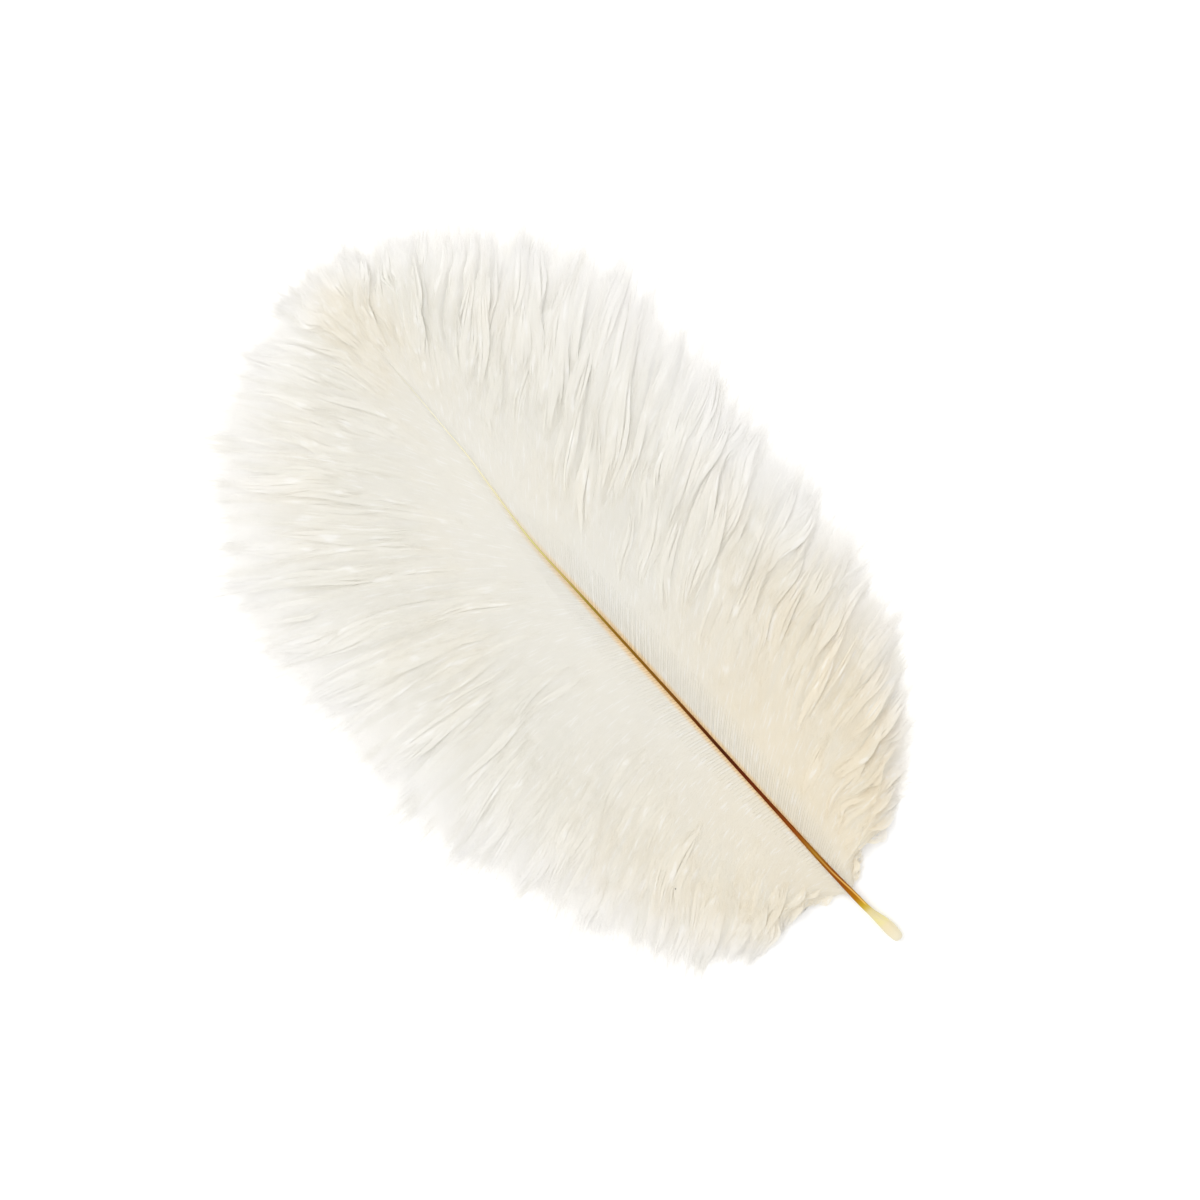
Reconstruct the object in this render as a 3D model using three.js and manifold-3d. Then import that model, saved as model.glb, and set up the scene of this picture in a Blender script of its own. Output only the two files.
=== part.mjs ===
import * as THREE from 'three';
import { mergeVertices } from 'three/addons/utils/BufferGeometryUtils.js';
import Module from 'manifold-3d';

// A short ostrich plume lying flat. It is one grown piece: a quill that tapers into a thin
// shaft, a smooth inner vane on either side of it, and soft pointed locks of barbs that carry
// both vanes out to their edge.
// Millimetres. +Y runs from the quill's end to the tip, +Z is up, and the underside lies on Z = 0.
// The curves below are laid out from the quill's end, at X = 0, Y = 0. The finished mesh is then
// moved so that the origin is under the middle of the plume.

const wasm = await Module();
wasm.setup();

// ---------- driving dimensions ----------

// Centre line of quill and shaft: the quill lies on the surface and the shaft rides on the barbs.
const SHAFT_LINE = [
  [-0.3, 0, 1.0],
  [-0.5, 3.6, 1.15],
  [-1.3, 11, 1.6],
  [-1.8, 29, 3.0],
  [-2.35, 57, 3.6],
  [-3.0, 84, 3.4],
  [-3.3, 98, 3.0],
  [-2.2, 112, 2.6],
  [-1.5, 124, 2.3],
  [-0.8, 137, 1.9],
];

// Radius of quill and shaft by distance from the quill's end: end, bulb, neck and long taper.
const SHAFT_RADIUS = [
  [0, 0.62],
  [1.2, 1.0],
  [4, 1.12],
  [8, 0.84],
  [13, 0.72],
  [30, 0.6],
  [60, 0.48],
  [90, 0.34],
  [137, 0.22],
];
const SHAFT_SIDES = 8;
const SHAFT_STEPS = 24;

// Where the barbs grow: distance of the root along the shaft, and where the ends of the left
// and the right barb of that root lie. Low roots sweep out and back, high roots fan forwards.
const STATIONS = [
  { root: 11.5, left: [-3.6, 11.0], right: [3.0, 14.0] },
  { root: 13.5, left: [-7.5, 11.4], right: [9.5, 16.0] },
  { root: 16, left: [-12.5, 11.9], right: [17, 18.2] },
  { root: 20, left: [-19, 12.8], right: [24.5, 24.5] },
  { root: 26, left: [-26, 15.6], right: [31.5, 35] },
  { root: 33, left: [-31.5, 20.5], right: [36.5, 48] },
  { root: 40, left: [-35.5, 27], right: [39.8, 60] },
  { root: 47, left: [-38.8, 35], right: [41, 70] },
  { root: 54, left: [-42, 44], right: [41.2, 79] },
  { root: 61, left: [-46, 54], right: [41, 88] },
  { root: 68, left: [-50, 65], right: [41.2, 98] },
  { root: 74, left: [-52.4, 76], right: [41.8, 107] },
  { root: 79, left: [-52.8, 92], right: [41.4, 114] },
  { root: 84, left: [-51.8, 106], right: [40.6, 120] },
  { root: 90, left: [-48.6, 123], right: [38.8, 126] },
  { root: 97, left: [-41.5, 136.5], right: [35.8, 132] },
  { root: 104, left: [-34.5, 145], right: [32, 138] },
  { root: 112, left: [-27, 151], right: [27, 144] },
  { root: 120, left: [-19.5, 155], right: [20.5, 150] },
  { root: 128, left: [-12, 157.6], right: [13, 155] },
  { root: 135, left: [-5.2, 159.4], right: [3.6, 158.6] },
];

// A barb leaves the shaft at this share of the angle to its end, and swings wider there.
const LEAVE_SHARE = 0.66;
const ARRIVE_SWING = 9;

// Inner vane: a smooth sheet that follows the barbs out to this share of their length.
const SHEET_REACH = 0.6;
const SHEET_ROWS = 17;
const SHEET_SPANS = 3;

// Locks: their count on each side, where they rise from the sheet, and their shape.
const LOCKS = { left: 36, right: 34 };
const LOCK_START = 0.16;
const LOCK_STEPS = 7;
const LOCK_WIDTH = 0.8;
const LOCK_WAVE = 2.6;

// Tip: locks that lie on along the shaft's line and close the vane there.
const TIP_LOCKS = [
  { root: 118, end: [-9.5, 158.6], width: 3.4 },
  { root: 122, end: [-4.5, 160.4], width: 3.2 },
  { root: 116, end: [0.8, 160.2], width: 3.6 },
  { root: 121, end: [6.0, 158.2], width: 3.0 },
];

// Top of the fluff over the surface, near the quill, at mid length and at the tip.
const FLUFF = [
  [11, 3.6],
  [24, 5.6],
  [60, 5.2],
  [100, 4.2],
  [137, 3.0],
];
const SHAFT_PROUD = 0.3;

const PLUME_COLOUR = 0xeee9da;

// ---------- small tools ----------

const mix = (a, b, t) => a + (b - a) * t;
const clamp01 = (t) => Math.min(1, Math.max(0, t));
const smooth = (t) => clamp01(t) ** 2 * (3 - 2 * clamp01(t));

// A repeatable value from 0 to 1 for each lock and use.
function chance(i, use) {
  const n = Math.sin(i * 127.1 + use * 311.7) * 43758.5453;
  return n - Math.floor(n);
}

// Value at x of a short list of [x, value] pairs.
function along(list, x) {
  let [x0, v0] = list[0];
  for (const [x1, v1] of list) {
    if (x <= x1) return mix(v0, v1, x1 > x0 ? clamp01((x - x0) / (x1 - x0)) : 0);
    [x0, v0] = [x1, v1];
  }
  return v0;
}

function curve(points) {
  return new THREE.CatmullRomCurve3(points.map(([x, y, z = 0]) => new THREE.Vector3(x, y, z)));
}

// Moves every corner of a closed three.js geometry to the place that put(x, y, z) gives.
function reshape(geometry, put) {
  const position = geometry.attributes.position;
  for (let i = 0; i < position.count; i += 1) {
    const to = put(position.getX(i), position.getY(i), position.getZ(i));
    position.setXYZ(i, to.x, to.y, to.z);
  }
  return geometry;
}

function toSolid(geometry) {
  const bare = geometry.clone();
  bare.deleteAttribute('normal');
  bare.deleteAttribute('uv');
  const merged = mergeVertices(bare, 1e-5);
  return new wasm.Manifold(new wasm.Mesh({
    numProp: 3,
    vertProperties: new Float32Array(merged.attributes.position.array),
    triVerts: new Uint32Array(merged.index.array),
  }));
}

function toGeometry(solid) {
  const { vertProperties, triVerts } = solid.getMesh();
  const geometry = new THREE.BufferGeometry();
  geometry.setAttribute('position', new THREE.BufferAttribute(new Float32Array(vertProperties), 3));
  geometry.setIndex(new THREE.BufferAttribute(new Uint32Array(triVerts), 1));
  geometry.computeVertexNormals();
  return geometry;
}

// ---------- quill and shaft ----------

const shaftLine = curve(SHAFT_LINE);

function shaftAt(y) {
  let low = 0;
  let high = 1;
  for (let i = 0; i < 20; i += 1) {
    const middle = (low + high) / 2;
    if (shaftLine.getPoint(middle).y < y) low = middle;
    else high = middle;
  }
  return shaftLine.getPoint(low);
}

// A standing cylinder, laid along the centre line with its radius following the taper.
function makeShaft() {
  const rod = new THREE.CylinderGeometry(1, 1, 1, SHAFT_SIDES, SHAFT_STEPS);
  rod.rotateY(Math.PI / SHAFT_SIDES);
  return reshape(rod, (x, y, z) => {
    const at = shaftLine.getPointAt(y + 0.5);
    const radius = along(SHAFT_RADIUS, at.y);
    return new THREE.Vector3(at.x + x * radius, at.y, at.z + z * radius);
  });
}

// ---------- barbs ----------

const roots = curve(STATIONS.map((s) => [0, s.root]));
const ends = {
  left: curve(STATIONS.map((s) => s.left)),
  right: curve(STATIONS.map((s) => s.right)),
};

// The way of a barb, seen from above: out of the shaft forwards, then wider.
function wayOut(rootY, target, stretch = 1, wave = 0) {
  const start = shaftAt(rootY).setZ(0);
  const chord = target.clone().sub(start);
  const length = chord.length() * stretch;
  const angle = Math.atan2(chord.x, chord.y);
  const swing = Math.sign(chord.x) * THREE.MathUtils.degToRad(ARRIVE_SWING);
  const heading = (a) => new THREE.Vector3(Math.sin(a), Math.cos(a), 0);
  const across = heading(angle + Math.PI / 2);
  const end = start.clone().addScaledVector(heading(angle), length);
  const first = start.clone().addScaledVector(heading(angle * LEAVE_SHARE), length * 0.3);
  const second = end.clone().addScaledVector(heading(angle + swing), -length * 0.3);
  return new THREE.CubicBezierCurve3(start, first, second.addScaledVector(across, wave), end);
}

const barbPath = (side, t, ...rest) => wayOut(roots.getPoint(t).y, ends[side].getPoint(t), ...rest);

// Height of the fluff's top at share s of a barb that grows at rootY.
function fluffTop(rootY, s) {
  const shaft = shaftAt(rootY);
  const atShaft = shaft.z + along(SHAFT_RADIUS, rootY) - SHAFT_PROUD;
  return mix(atShaft, along(FLUFF, rootY), smooth(s / 0.5)) * mix(1, 0.3, smooth((s - 0.55) / 0.45));
}

// Inner vane of both sides: a box bent so that its rows follow the barbs.
function makeSheet() {
  const box = new THREE.BoxGeometry(2, 1, 1, SHEET_SPANS * 2, SHEET_ROWS, 1);
  const rows = new Map();
  return reshape(box, (x, y, z) => {
    const t = mix(0.012, 0.985, y + 0.5);
    const side = x < 0 ? 'left' : 'right';
    const key = `${side}${t.toFixed(4)}`;
    if (!rows.has(key)) rows.set(key, barbPath(side, t));
    const s = Math.abs(x) * SHEET_REACH;
    const at = rows.get(key).getPoint(s);
    const rim = Math.abs(x) > 0.99 ? 0.45 : 1;
    const edge = y < -0.49 || y > 0.49 ? 0.6 : 1;
    const top = fluffTop(roots.getPoint(t).y, s) * rim * edge;
    return at.setZ(z > 0 ? top : 0);
  });
}

// One lock: a cone laid along its path, flat below and rounded above, ending in a point.
function makeLock(path, rootY, half, lift) {
  const section = [[-1, 0], [-0.4, 1], [0.4, 1], [1, 0]];
  const cone = new THREE.ConeGeometry(1, 1, section.length, LOCK_STEPS);
  return reshape(cone, (x, y, z) => {
    const out = y + 0.5;
    const s = clamp01(mix(LOCK_START, 1, out));
    const at = path.getPoint(s);
    const tangent = path.getTangent(s);
    if (out > 0.999) return at.setZ(0.22);
    if (Math.hypot(x, z) < 1e-6) return at.setZ(0);
    const turn = Math.atan2(x, z) / (2 * Math.PI);
    const corner = Math.round(turn * section.length + section.length) % section.length;
    const [aside, up] = section[corner];
    const width = half * Math.min(mix(0.4, 1, smooth(out / 0.5)), (1 - out) * 2 + 0.04);
    const top = fluffTop(rootY, s) * mix(0.8, lift, smooth(out / 0.4));
    at.x += tangent.y * width * aside;
    at.y -= tangent.x * width * aside;
    return at.setZ(up * top);
  });
}

// The locks of one side, spaced along its edge, each of its own length, width and height.
function sideLocks(side) {
  const count = LOCKS[side];
  const spacing = ends[side].getLength() / count;
  return Array.from({ length: count }, (_, n) => {
    const i = n + (side === 'left' ? 0 : 200);
    const t = ends[side].getUtoTmapping((n + 0.5 + 0.5 * (chance(i, 1) - 0.5)) / count);
    const stretch = mix(0.9, 1.035, chance(i, 2) ** 0.6);
    const path = barbPath(side, t, stretch, LOCK_WAVE * (chance(i, 3) - 0.5) * 2);
    const wide = spacing * LOCK_WIDTH * mix(0.8, 1.2, chance(i, 5));
    const half = Math.min(wide, path.getLength() * 0.22);
    return makeLock(path, roots.getPoint(t).y, half, mix(0.86, 1.14, chance(i, 4)));
  });
}

function tipLocks() {
  return TIP_LOCKS.map(({ root, end, width }, n) => {
    const path = wayOut(root, new THREE.Vector3(...end, 0), 1, 0);
    return makeLock(path, root, width, 1 + 0.08 * (n % 2));
  });
}

function makePlume() {
  let plume = toSolid(makeSheet()).add(toSolid(makeShaft()));
  for (const lock of [...sideLocks('left'), ...sideLocks('right'), ...tipLocks()]) {
    plume = plume.add(toSolid(lock));
  }
  return toGeometry(plume);
}

// ---------- the plume, with its origin under the middle ----------

const geometry = makePlume();
geometry.computeBoundingBox();
const middle = geometry.boundingBox.getCenter(new THREE.Vector3());
geometry.translate(-middle.x, -middle.y, 0);

const feather = new THREE.Mesh(
  geometry,
  new THREE.MeshStandardMaterial({ color: PLUME_COLOUR, roughness: 0.9, metalness: 0 }),
);
feather.name = 'feather';

const plume = new THREE.Group();
plume.add(feather);

export default plume;
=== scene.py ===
"""A short ivory ostrich plume: quill, shaft and the barbs of both vanes, lying on a pale table."""
import math

import bpy
import numpy as np
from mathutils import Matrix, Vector


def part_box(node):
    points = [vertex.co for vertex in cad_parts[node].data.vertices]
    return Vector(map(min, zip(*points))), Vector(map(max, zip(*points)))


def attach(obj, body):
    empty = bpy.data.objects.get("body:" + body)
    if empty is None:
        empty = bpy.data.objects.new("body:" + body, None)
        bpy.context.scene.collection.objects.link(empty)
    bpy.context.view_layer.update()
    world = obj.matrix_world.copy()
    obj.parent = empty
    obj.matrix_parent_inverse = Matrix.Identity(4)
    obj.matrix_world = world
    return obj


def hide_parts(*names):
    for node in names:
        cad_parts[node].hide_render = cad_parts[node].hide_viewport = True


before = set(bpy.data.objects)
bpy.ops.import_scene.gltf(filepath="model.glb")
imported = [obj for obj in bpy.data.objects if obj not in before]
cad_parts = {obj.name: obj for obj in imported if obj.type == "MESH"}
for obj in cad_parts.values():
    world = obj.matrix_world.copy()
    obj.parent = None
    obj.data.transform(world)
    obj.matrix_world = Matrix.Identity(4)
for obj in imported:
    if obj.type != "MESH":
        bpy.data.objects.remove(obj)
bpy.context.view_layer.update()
PLUME_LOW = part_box("feather")[0]

bl_info = {
    "name": "Ostrich Plume",
    "version": (1, 0, 0),
    "blender": (4, 5, 0),
    "location": "3D Viewport > Sidebar > Plume",
    "description": "Builds a short ostrich plume (quill, shaft and barbs) and a table under it",
    "category": "Object",
}

MM = 0.001

# Centre line of quill and shaft, in millimetres from the quill's end: X, Y and height.
SHAFT_LINE = np.array([
    [-0.12, 0, 1.12], [-0.3, 3.6, 1.24], [-0.95, 8, 1.42], [-1.25, 13, 1.75], [-1.55, 20, 2.4],
    [-1.72, 29, 3.0], [-2.05, 45, 3.4], [-2.25, 57, 3.6], [-2.55, 70, 3.55], [-2.88, 84, 3.4],
    [-3.18, 98, 3.25], [-2.35, 110, 3.0], [-1.85, 116, 2.85], [-1.75, 122, 2.7],
    [-1.6, 130, 2.4], [-1.55, 137, 2.1],
])

# Radius of quill and shaft, by distance from the quill's end.
SHAFT_RADIUS = np.array([
    [0, 0.62], [0.5, 0.86], [1.4, 1.08], [2.7, 1.17], [4, 1.1], [5.4, 0.9], [6.8, 0.7], [8.1, 0.64],
    [10.8, 0.64], [14.4, 0.56], [18, 0.5], [21.6, 0.46], [27, 0.39], [32, 0.35], [40, 0.32],
    [54, 0.3], [68, 0.27], [83, 0.23], [97, 0.18], [112, 0.13], [126, 0.09], [137, 0.05],
])

# Where barbs grow along the shaft, and where the ends of the left and the right barb lie.
STATIONS = np.array([
    [11.5, -8.5, 15.2, 2.4, 15.2], [13.5, -13, 14.0, 8, 17.2], [16, -16.8, 13.6, 16.8, 18.9],
    [20, -21.8, 13.8, 25.6, 25.6], [26, -26.2, 16.6, 34.0, 37.6], [33, -31.4, 20.8, 39.4, 51.0],
    [40, -35.7, 26.8, 40.9, 61.6], [47, -39.4, 34.6, 41.4, 70.8], [54, -43.4, 43.2, 41.8, 80.2],
    [61, -47.4, 53.4, 41.9, 89.6], [68, -50.8, 64.6, 41.8, 99], [74, -52.4, 76, 42.0, 107.6],
    [79, -53.0, 92.6, 41.9, 115.4], [84, -52.9, 107.4, 41.0, 121], [90, -50.4, 125.4, 39.6, 127.6],
    [97, -43.6, 139.2, 36.4, 133.4], [104, -35.8, 147.2, 32.2, 138.6], [112, -28, 153, 27.4, 145],
    [120, -19.8, 155.6, 20.8, 151], [128, -12.2, 158.4, 13, 155.2], [135, -5.2, 159.6, 3.4, 157.2],
])

# Top of the fluff over the surface, by distance from the quill's end.
FLUFF = np.array([[11, 3.0], [24, 5.0], [60, 4.7], [100, 3.6], [137, 2.5]])

# Fine points into which the edge of each vane parts, past a share of the way out.
POINTS = {"left": 250, "right": 236, "tip": 26}
SPLIT = 0.8
FIRST_ROOT, LAST_ROOT = 11.5, 135.0
SHAFT_LENGTH = 137.5

# Least heights over the table, of the down's top, of the bed's underside and of a hair.
LOWEST_DOWN, LOWEST_BED, LOWEST_HAIR = 0.1, 0.04, 0.03

# By vane: how much further than the stations the barbs reach, how far they sway aside, how much
# the down's height changes in broad waves and in locks, and how loose its wisps lie.
REACH = {"left": 1.165, "right": 1.16, "tip": 1.12}
SWAY = {"left": 0.9, "right": 1.5, "tip": 0.8}
WAVES = {"left": (0.15, 0.36), "right": (0.28, 0.6), "tip": (0.05, 0.15)}
LOOSENESS = {"left": 0.8, "right": 1.2, "tip": 0.6}

RIBBONS = 7  # in a wisp, side by side
HAIR_BENDS = 0.72  # share of the way out past which a hair has a bend in it

# Pieces of each side vane, and the places of the shaft between which their barbs grow.
LEFT_PIECES = (
    ("left_barbs_low", 0, 59), ("left_barbs_middle", 59, 87), ("left_barbs_tip", 87, 140))
RIGHT_PIECES = (
    ("right_barbs_low", 0, 50), ("right_barbs_middle", 50, 86), ("right_barbs_tip", 86, 140))


# ---------- sizes and colours a user would change ----------

class PlumeSizes(bpy.types.PropertyGroup):
    """Sizes of the plume's barbs and shaft."""
    quill_x: bpy.props.FloatProperty(
        name="Quill place", description="Where the plume's own zero line lies across the frame",
        default=5.64 * MM, unit="LENGTH", precision=5)
    shaft_sides: bpy.props.IntProperty(
        name="Shaft sides", description="Corners of the shaft's round section", default=20)
    barb_count: bpy.props.IntProperty(
        name="Barbs", description="Barbs that grow from each side of the shaft", default=216)
    wisp_count: bpy.props.IntProperty(
        name="Wisps", description="Loose wisps that lie on each vane", default=165)
    hair_length: bpy.props.FloatProperty(
        name="Hair length", description="Longest of the fine hairs",
        default=3.4 * MM, unit="LENGTH", precision=5)
    hair_width: bpy.props.FloatProperty(
        name="Hair width", description="Width of a fine hair where it starts",
        default=0.034 * MM, unit="LENGTH", precision=6)
    hair_density: bpy.props.FloatProperty(
        name="Hair density", description="Fine hairs on a square millimetre of a vane", default=30)
    seed: bpy.props.IntProperty(name="Seed", description="Start of the random numbers", default=7)


class PlumeColours(bpy.types.PropertyGroup):
    """Colours of down, horn and table."""
    down: bpy.props.FloatVectorProperty(
        name="Down", description="Ivory of the barbs", subtype="COLOR", size=3,
        default=(0.85, 0.83, 0.764))
    down_warm: bpy.props.FloatVectorProperty(
        name="Warm down", description="Barbs near the quill and in the tip's middle",
        subtype="COLOR", size=3, default=(0.87, 0.804, 0.659))
    # Partly the barbs' own pale thin ends, partly painted light that lightens the edge against the
    # shade among the fine points.
    down_pale_and_painted_light: bpy.props.FloatVectorProperty(
        name="Pale down", description="Thin ends of the barbs", subtype="COLOR", size=3,
        default=(0.99, 0.986, 0.98))
    table: bpy.props.FloatVectorProperty(
        name="Table", description="Plain pale table", subtype="COLOR", size=3,
        default=(0.965, 0.965, 0.965))


class StageSizes(bpy.types.PropertyGroup):
    """Camera, light and table."""
    camera_height: bpy.props.FloatProperty(
        name="Camera height", description="Height of the camera over the table",
        default=0.6, unit="LENGTH")
    camera_turn: bpy.props.FloatProperty(
        name="Camera turn", description="Turn of the camera about its line of sight",
        default=math.radians(-40.97), subtype="ANGLE")
    sky: bpy.props.FloatProperty(name="Sky", description="Even light from all round", default=1.05)
    softbox: bpy.props.FloatProperty(
        name="Softbox", description="Power of the large soft lamp", default=4.0, unit="POWER")


# ---------- curves of the plume, all in millimetres ----------

def ease(x):
    x = np.clip(x, 0, 1)
    return x * x * (3 - 2 * x)


def mix(a, b, t):
    return a + (b - a) * t


def spline(knots, values, at):
    """Smooth curve through values at knots."""
    values = np.asarray(values, float)
    slopes = np.gradient(values, knots, axis=0)
    at = np.clip(at, knots[0], knots[-1])
    i = np.clip(np.searchsorted(knots, at) - 1, 0, len(knots) - 2)
    h = knots[i + 1] - knots[i]
    u = (at - knots[i]) / h
    if values.ndim > 1:
        u, h = u[..., None], h[..., None]
    return ((2 * u**3 - 3 * u**2 + 1) * values[i] + (u**3 - 2 * u**2 + u) * h * slopes[i]
            + (3 * u**2 - 2 * u**3) * values[i + 1] + (u**3 - u**2) * h * slopes[i + 1])


def shaft_at(y):
    """Centre of the shaft at a distance from the quill's end: X, Y, height."""
    y = np.asarray(y, float)
    xz = spline(SHAFT_LINE[:, 1], SHAFT_LINE[:, [0, 2]], y)
    return np.stack([xz[..., 0], y, xz[..., 1]], -1)


def shaft_radius(y):
    return np.interp(y, SHAFT_RADIUS[:, 0], SHAFT_RADIUS[:, 1])


def start_height(root):
    """Height at which barbs leave the shaft, a little above its middle."""
    return shaft_at(root)[..., 2] + 0.15 * shaft_radius(root)


def barb_end(side, root):
    columns = [1, 2] if side == "left" else [3, 4]
    return spline(STATIONS[:, 0], STATIONS[:, columns], root)


def fluff_top(root, s):
    """Height of the fluff at share s of a barb."""
    full = np.interp(root, FLUFF[:, 0], FLUFF[:, 1])
    return mix(start_height(root), full, ease(s / 0.55)) * mix(1, 0.12, ease((s - 0.42) / 0.46))


def way_out(root, end, stretch, wave, s):
    """Path of barbs seen from above: out of the shaft forwards, then wider. Shape (n, steps, 2)."""
    start = shaft_at(root)[:, :2]
    chord = end - start
    length = np.linalg.norm(chord, axis=1) * stretch
    angle = np.arctan2(chord[:, 0], chord[:, 1])
    low = 1 - ease((start[:, 1] - 11) / 12)
    swing = np.sign(chord[:, 0]) * np.radians(9 + 30 * low * (chord[:, 0] < 0))

    def heading(a):
        return np.stack([np.sin(a), np.cos(a)], 1) * length[:, None]

    far = start + heading(angle)
    across = np.stack([np.cos(angle), -np.sin(angle)], 1)
    first = start + heading(angle * 0.66) * (0.3 + 0.2 * low * (chord[:, 0] < 0))[:, None]
    second = far - heading(angle + swing) * 0.3 + across * wave[:, None]
    s = s[None, :, None]
    return ((1 - s)**3 * start[:, None] + 3 * (1 - s)**2 * s * first[:, None]
            + 3 * (1 - s) * s**2 * second[:, None] + s**3 * far[:, None])


def along_edge(side):
    """Fine list of roots, and the share of the vane's edge that their ends have passed."""
    fine = np.linspace(FIRST_ROOT, LAST_ROOT, 900)
    ends = barb_end(side, fine)
    steps = np.linalg.norm(np.diff(ends, axis=0), axis=1)
    passed = np.concatenate([[0], np.cumsum(steps)])
    return fine, passed / passed[-1]


def between_four(grid, i, j, u, v):
    """Value at shares u and v of the way across the grid's cells i, j."""
    near, far = mix(grid[i, j], grid[i + 1, j], u), mix(grid[i, j + 1], grid[i + 1, j + 1], u)
    return mix(near, far, v)


def drift(rng, rows, columns):
    """A smooth random surface from -1 to 1, over place along the vane and share of the barb."""
    grid = rng.uniform(-1, 1, (rows + 2, columns + 2))

    def at(place, s):
        x, y = np.broadcast_arrays(place * rows, s * columns)
        i, j = x.astype(int), y.astype(int)
        u, v = ease(x - i), ease(y - j)
        return between_four(grid, i, j, u, v)

    return at


class Vane:
    """The surface on which a vane's down lies: lines that run out from the shaft side by side.

    A place on it is c, from 0 at the quill to 1 at the tip, and s, from 0 at the shaft to 1 at the
    edge. Past SPLIT the surface parts into many fine points.
    """

    def __init__(self, side, seed):
        rng = np.random.default_rng(seed)
        self.side = side
        self.columns, self.rows = (61, 49) if side == "tip" else (361, 49)
        c, s = np.linspace(0, 1, self.columns), np.linspace(0, 1, self.rows)
        if side == "tip":
            fan = 2 * c - 1
            self.root = mix(136.5, 130, np.abs(fan) ** 0.8)
            end = np.stack([-1.5 + 10.5 * fan, 161.0 - 1.8 * fan**2], 1)
            place = c * 0.1
        else:
            fine, share = along_edge(side)
            even = 0.5 if side == "left" else 0.25
            grown = mix((fine - FIRST_ROOT) / (LAST_ROOT - FIRST_ROOT), share, even)
            self.root = np.interp(c, grown, fine)
            place = np.interp(self.root, fine, share)
            end = barb_end(side, self.root)
        stretch = REACH[side] + 0.02 * drift(rng, 40, 1)(place, 0.0)
        flat = way_out(self.root, end, stretch, 1.6 * drift(rng, 16, 1)(place, 0.0), s)
        heading = np.gradient(flat, axis=1)
        heading /= np.linalg.norm(heading, axis=2, keepdims=True) + 1e-9
        normal = np.stack([-heading[..., 1], heading[..., 0]], -1)
        slow = drift(rng, 34, 4)(place[:, None], s[None])
        quick = drift(rng, 80, 6)(place[:, None], s[None])
        sway = SWAY[side] * slow + 0.4 * quick
        flat = flat + normal * (sway * ease(s[None] / 0.6))[..., None]

        top = fluff_top(self.root[:, None], s[None])
        broad, locks = drift(rng, 30, 3), drift(rng, 64, 4)

        def ridge(place, s):
            """Round locks from 1 at their backs to -1 in the narrow valleys between them."""
            return 2 * np.abs(locks(place, s)) ** 0.6 - 1

        in_waves, in_locks = WAVES[side]
        z = top + (in_waves * broad(place[:, None], s[None]) * ease((s[None] - 0.05) / 0.3)
                   + in_locks * ridge(place[:, None], s[None]) * ease((s[None] - 0.2) / 0.4))
        z = mix(start_height(self.root)[:, None], np.clip(z, 0.3, None), ease(s[None] / 0.08))
        z = mix(z, 0.22 + 0.12 * ridge(place[:, None], s[None]), ease((s[None] - 0.64) / 0.26))
        if side == "tip":
            z = z * mix(1, mix(1.05, 0.5, np.abs(fan) ** 2.5)[:, None], ease(s[None] / 0.4))
        else:
            z = z * mix(1, mix(0.3, 1, ease(c / 0.05))[:, None], ease(s[None] / 0.35))
        self.grid = np.concatenate([flat, z[..., None]], -1)
        self.length = np.linalg.norm(np.diff(self.grid, axis=1), axis=2).sum(1)

        count = POINTS[side]
        cuts = (np.arange(count + 1) + np.append(np.append(
            0, rng.uniform(-0.28, 0.28, count - 1)), 0)) / count
        if side != "tip":
            cuts = np.interp(cuts * place[-1], place, c)
        self.cuts = cuts
        middle = np.interp((cuts[:-1] + cuts[1:]) / 2, c, place)
        self.begin = SPLIT + rng.uniform(0.0, 0.04, count)
        self.end = np.maximum(self.begin + 0.05, (
            0.95 + 0.02 * drift(rng, 36, 1)(middle, 0.0) + 0.03 * ridge(middle, 0.95)
            - 0.13 * rng.uniform(0, 1, count) ** 1.2))
        self.rise = rng.uniform(-0.06, 0.06, count)

    def at(self, c, s):
        """Points at places c along the shaft and shares s of the way out."""
        c, s = np.broadcast_arrays(c, s)
        x, y = np.clip(c, 0, 1) * (self.columns - 1), np.clip(s, 0, 1) * (self.rows - 1)
        i = np.minimum(x.astype(int), self.columns - 2)
        j = np.minimum(y.astype(int), self.rows - 2)
        return between_four(self.grid, i, j, (x - i)[..., None], (y - j)[..., None])

    def drawn(self, c, s, strength):
        """Points on the matted down, where places c draw towards the middle of their point."""
        c, s, strength = np.broadcast_arrays(c, s, strength)
        k = np.clip(np.searchsorted(self.cuts, c, side="right") - 1, 0, len(self.begin) - 1)
        middle, half = (self.cuts[k] + self.cuts[k + 1]) / 2, (self.cuts[k + 1] - self.cuts[k]) / 2
        across = np.clip((c - middle) / half, -1, 1)
        close = strength * np.clip((s - self.begin[k]) / (self.end[k] - self.begin[k]), 0, 1)
        points = self.at(middle + (c - middle) * (1 - close), s)
        points[..., 2] += ease((s - SPLIT) / 0.15) * (self.rise[k] - 0.05 * across**2)
        points[..., 2] -= 0.05 * ease(s / 0.1)
        points[..., 2] = np.clip(points[..., 2], LOWEST_DOWN, None)
        return points

    def between(self, low, high):
        """Range of c whose roots lie between two places of the shaft."""
        if self.side == "tip":
            return 0.0, 1.0
        c = np.linspace(0, 1, self.columns)
        return tuple(np.interp([low, high], self.root, c, left=0.0, right=1.0))


# ---------- meshes from arrays ----------

def to_frame(points):
    """Plume millimetres to frame metres."""
    sizes = bpy.context.scene.plume_sizes
    out = np.asarray(points, np.float64) * MM
    out[..., 0] += sizes.quill_x
    out[..., 1] += PLUME_LOW[1]
    return out


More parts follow.
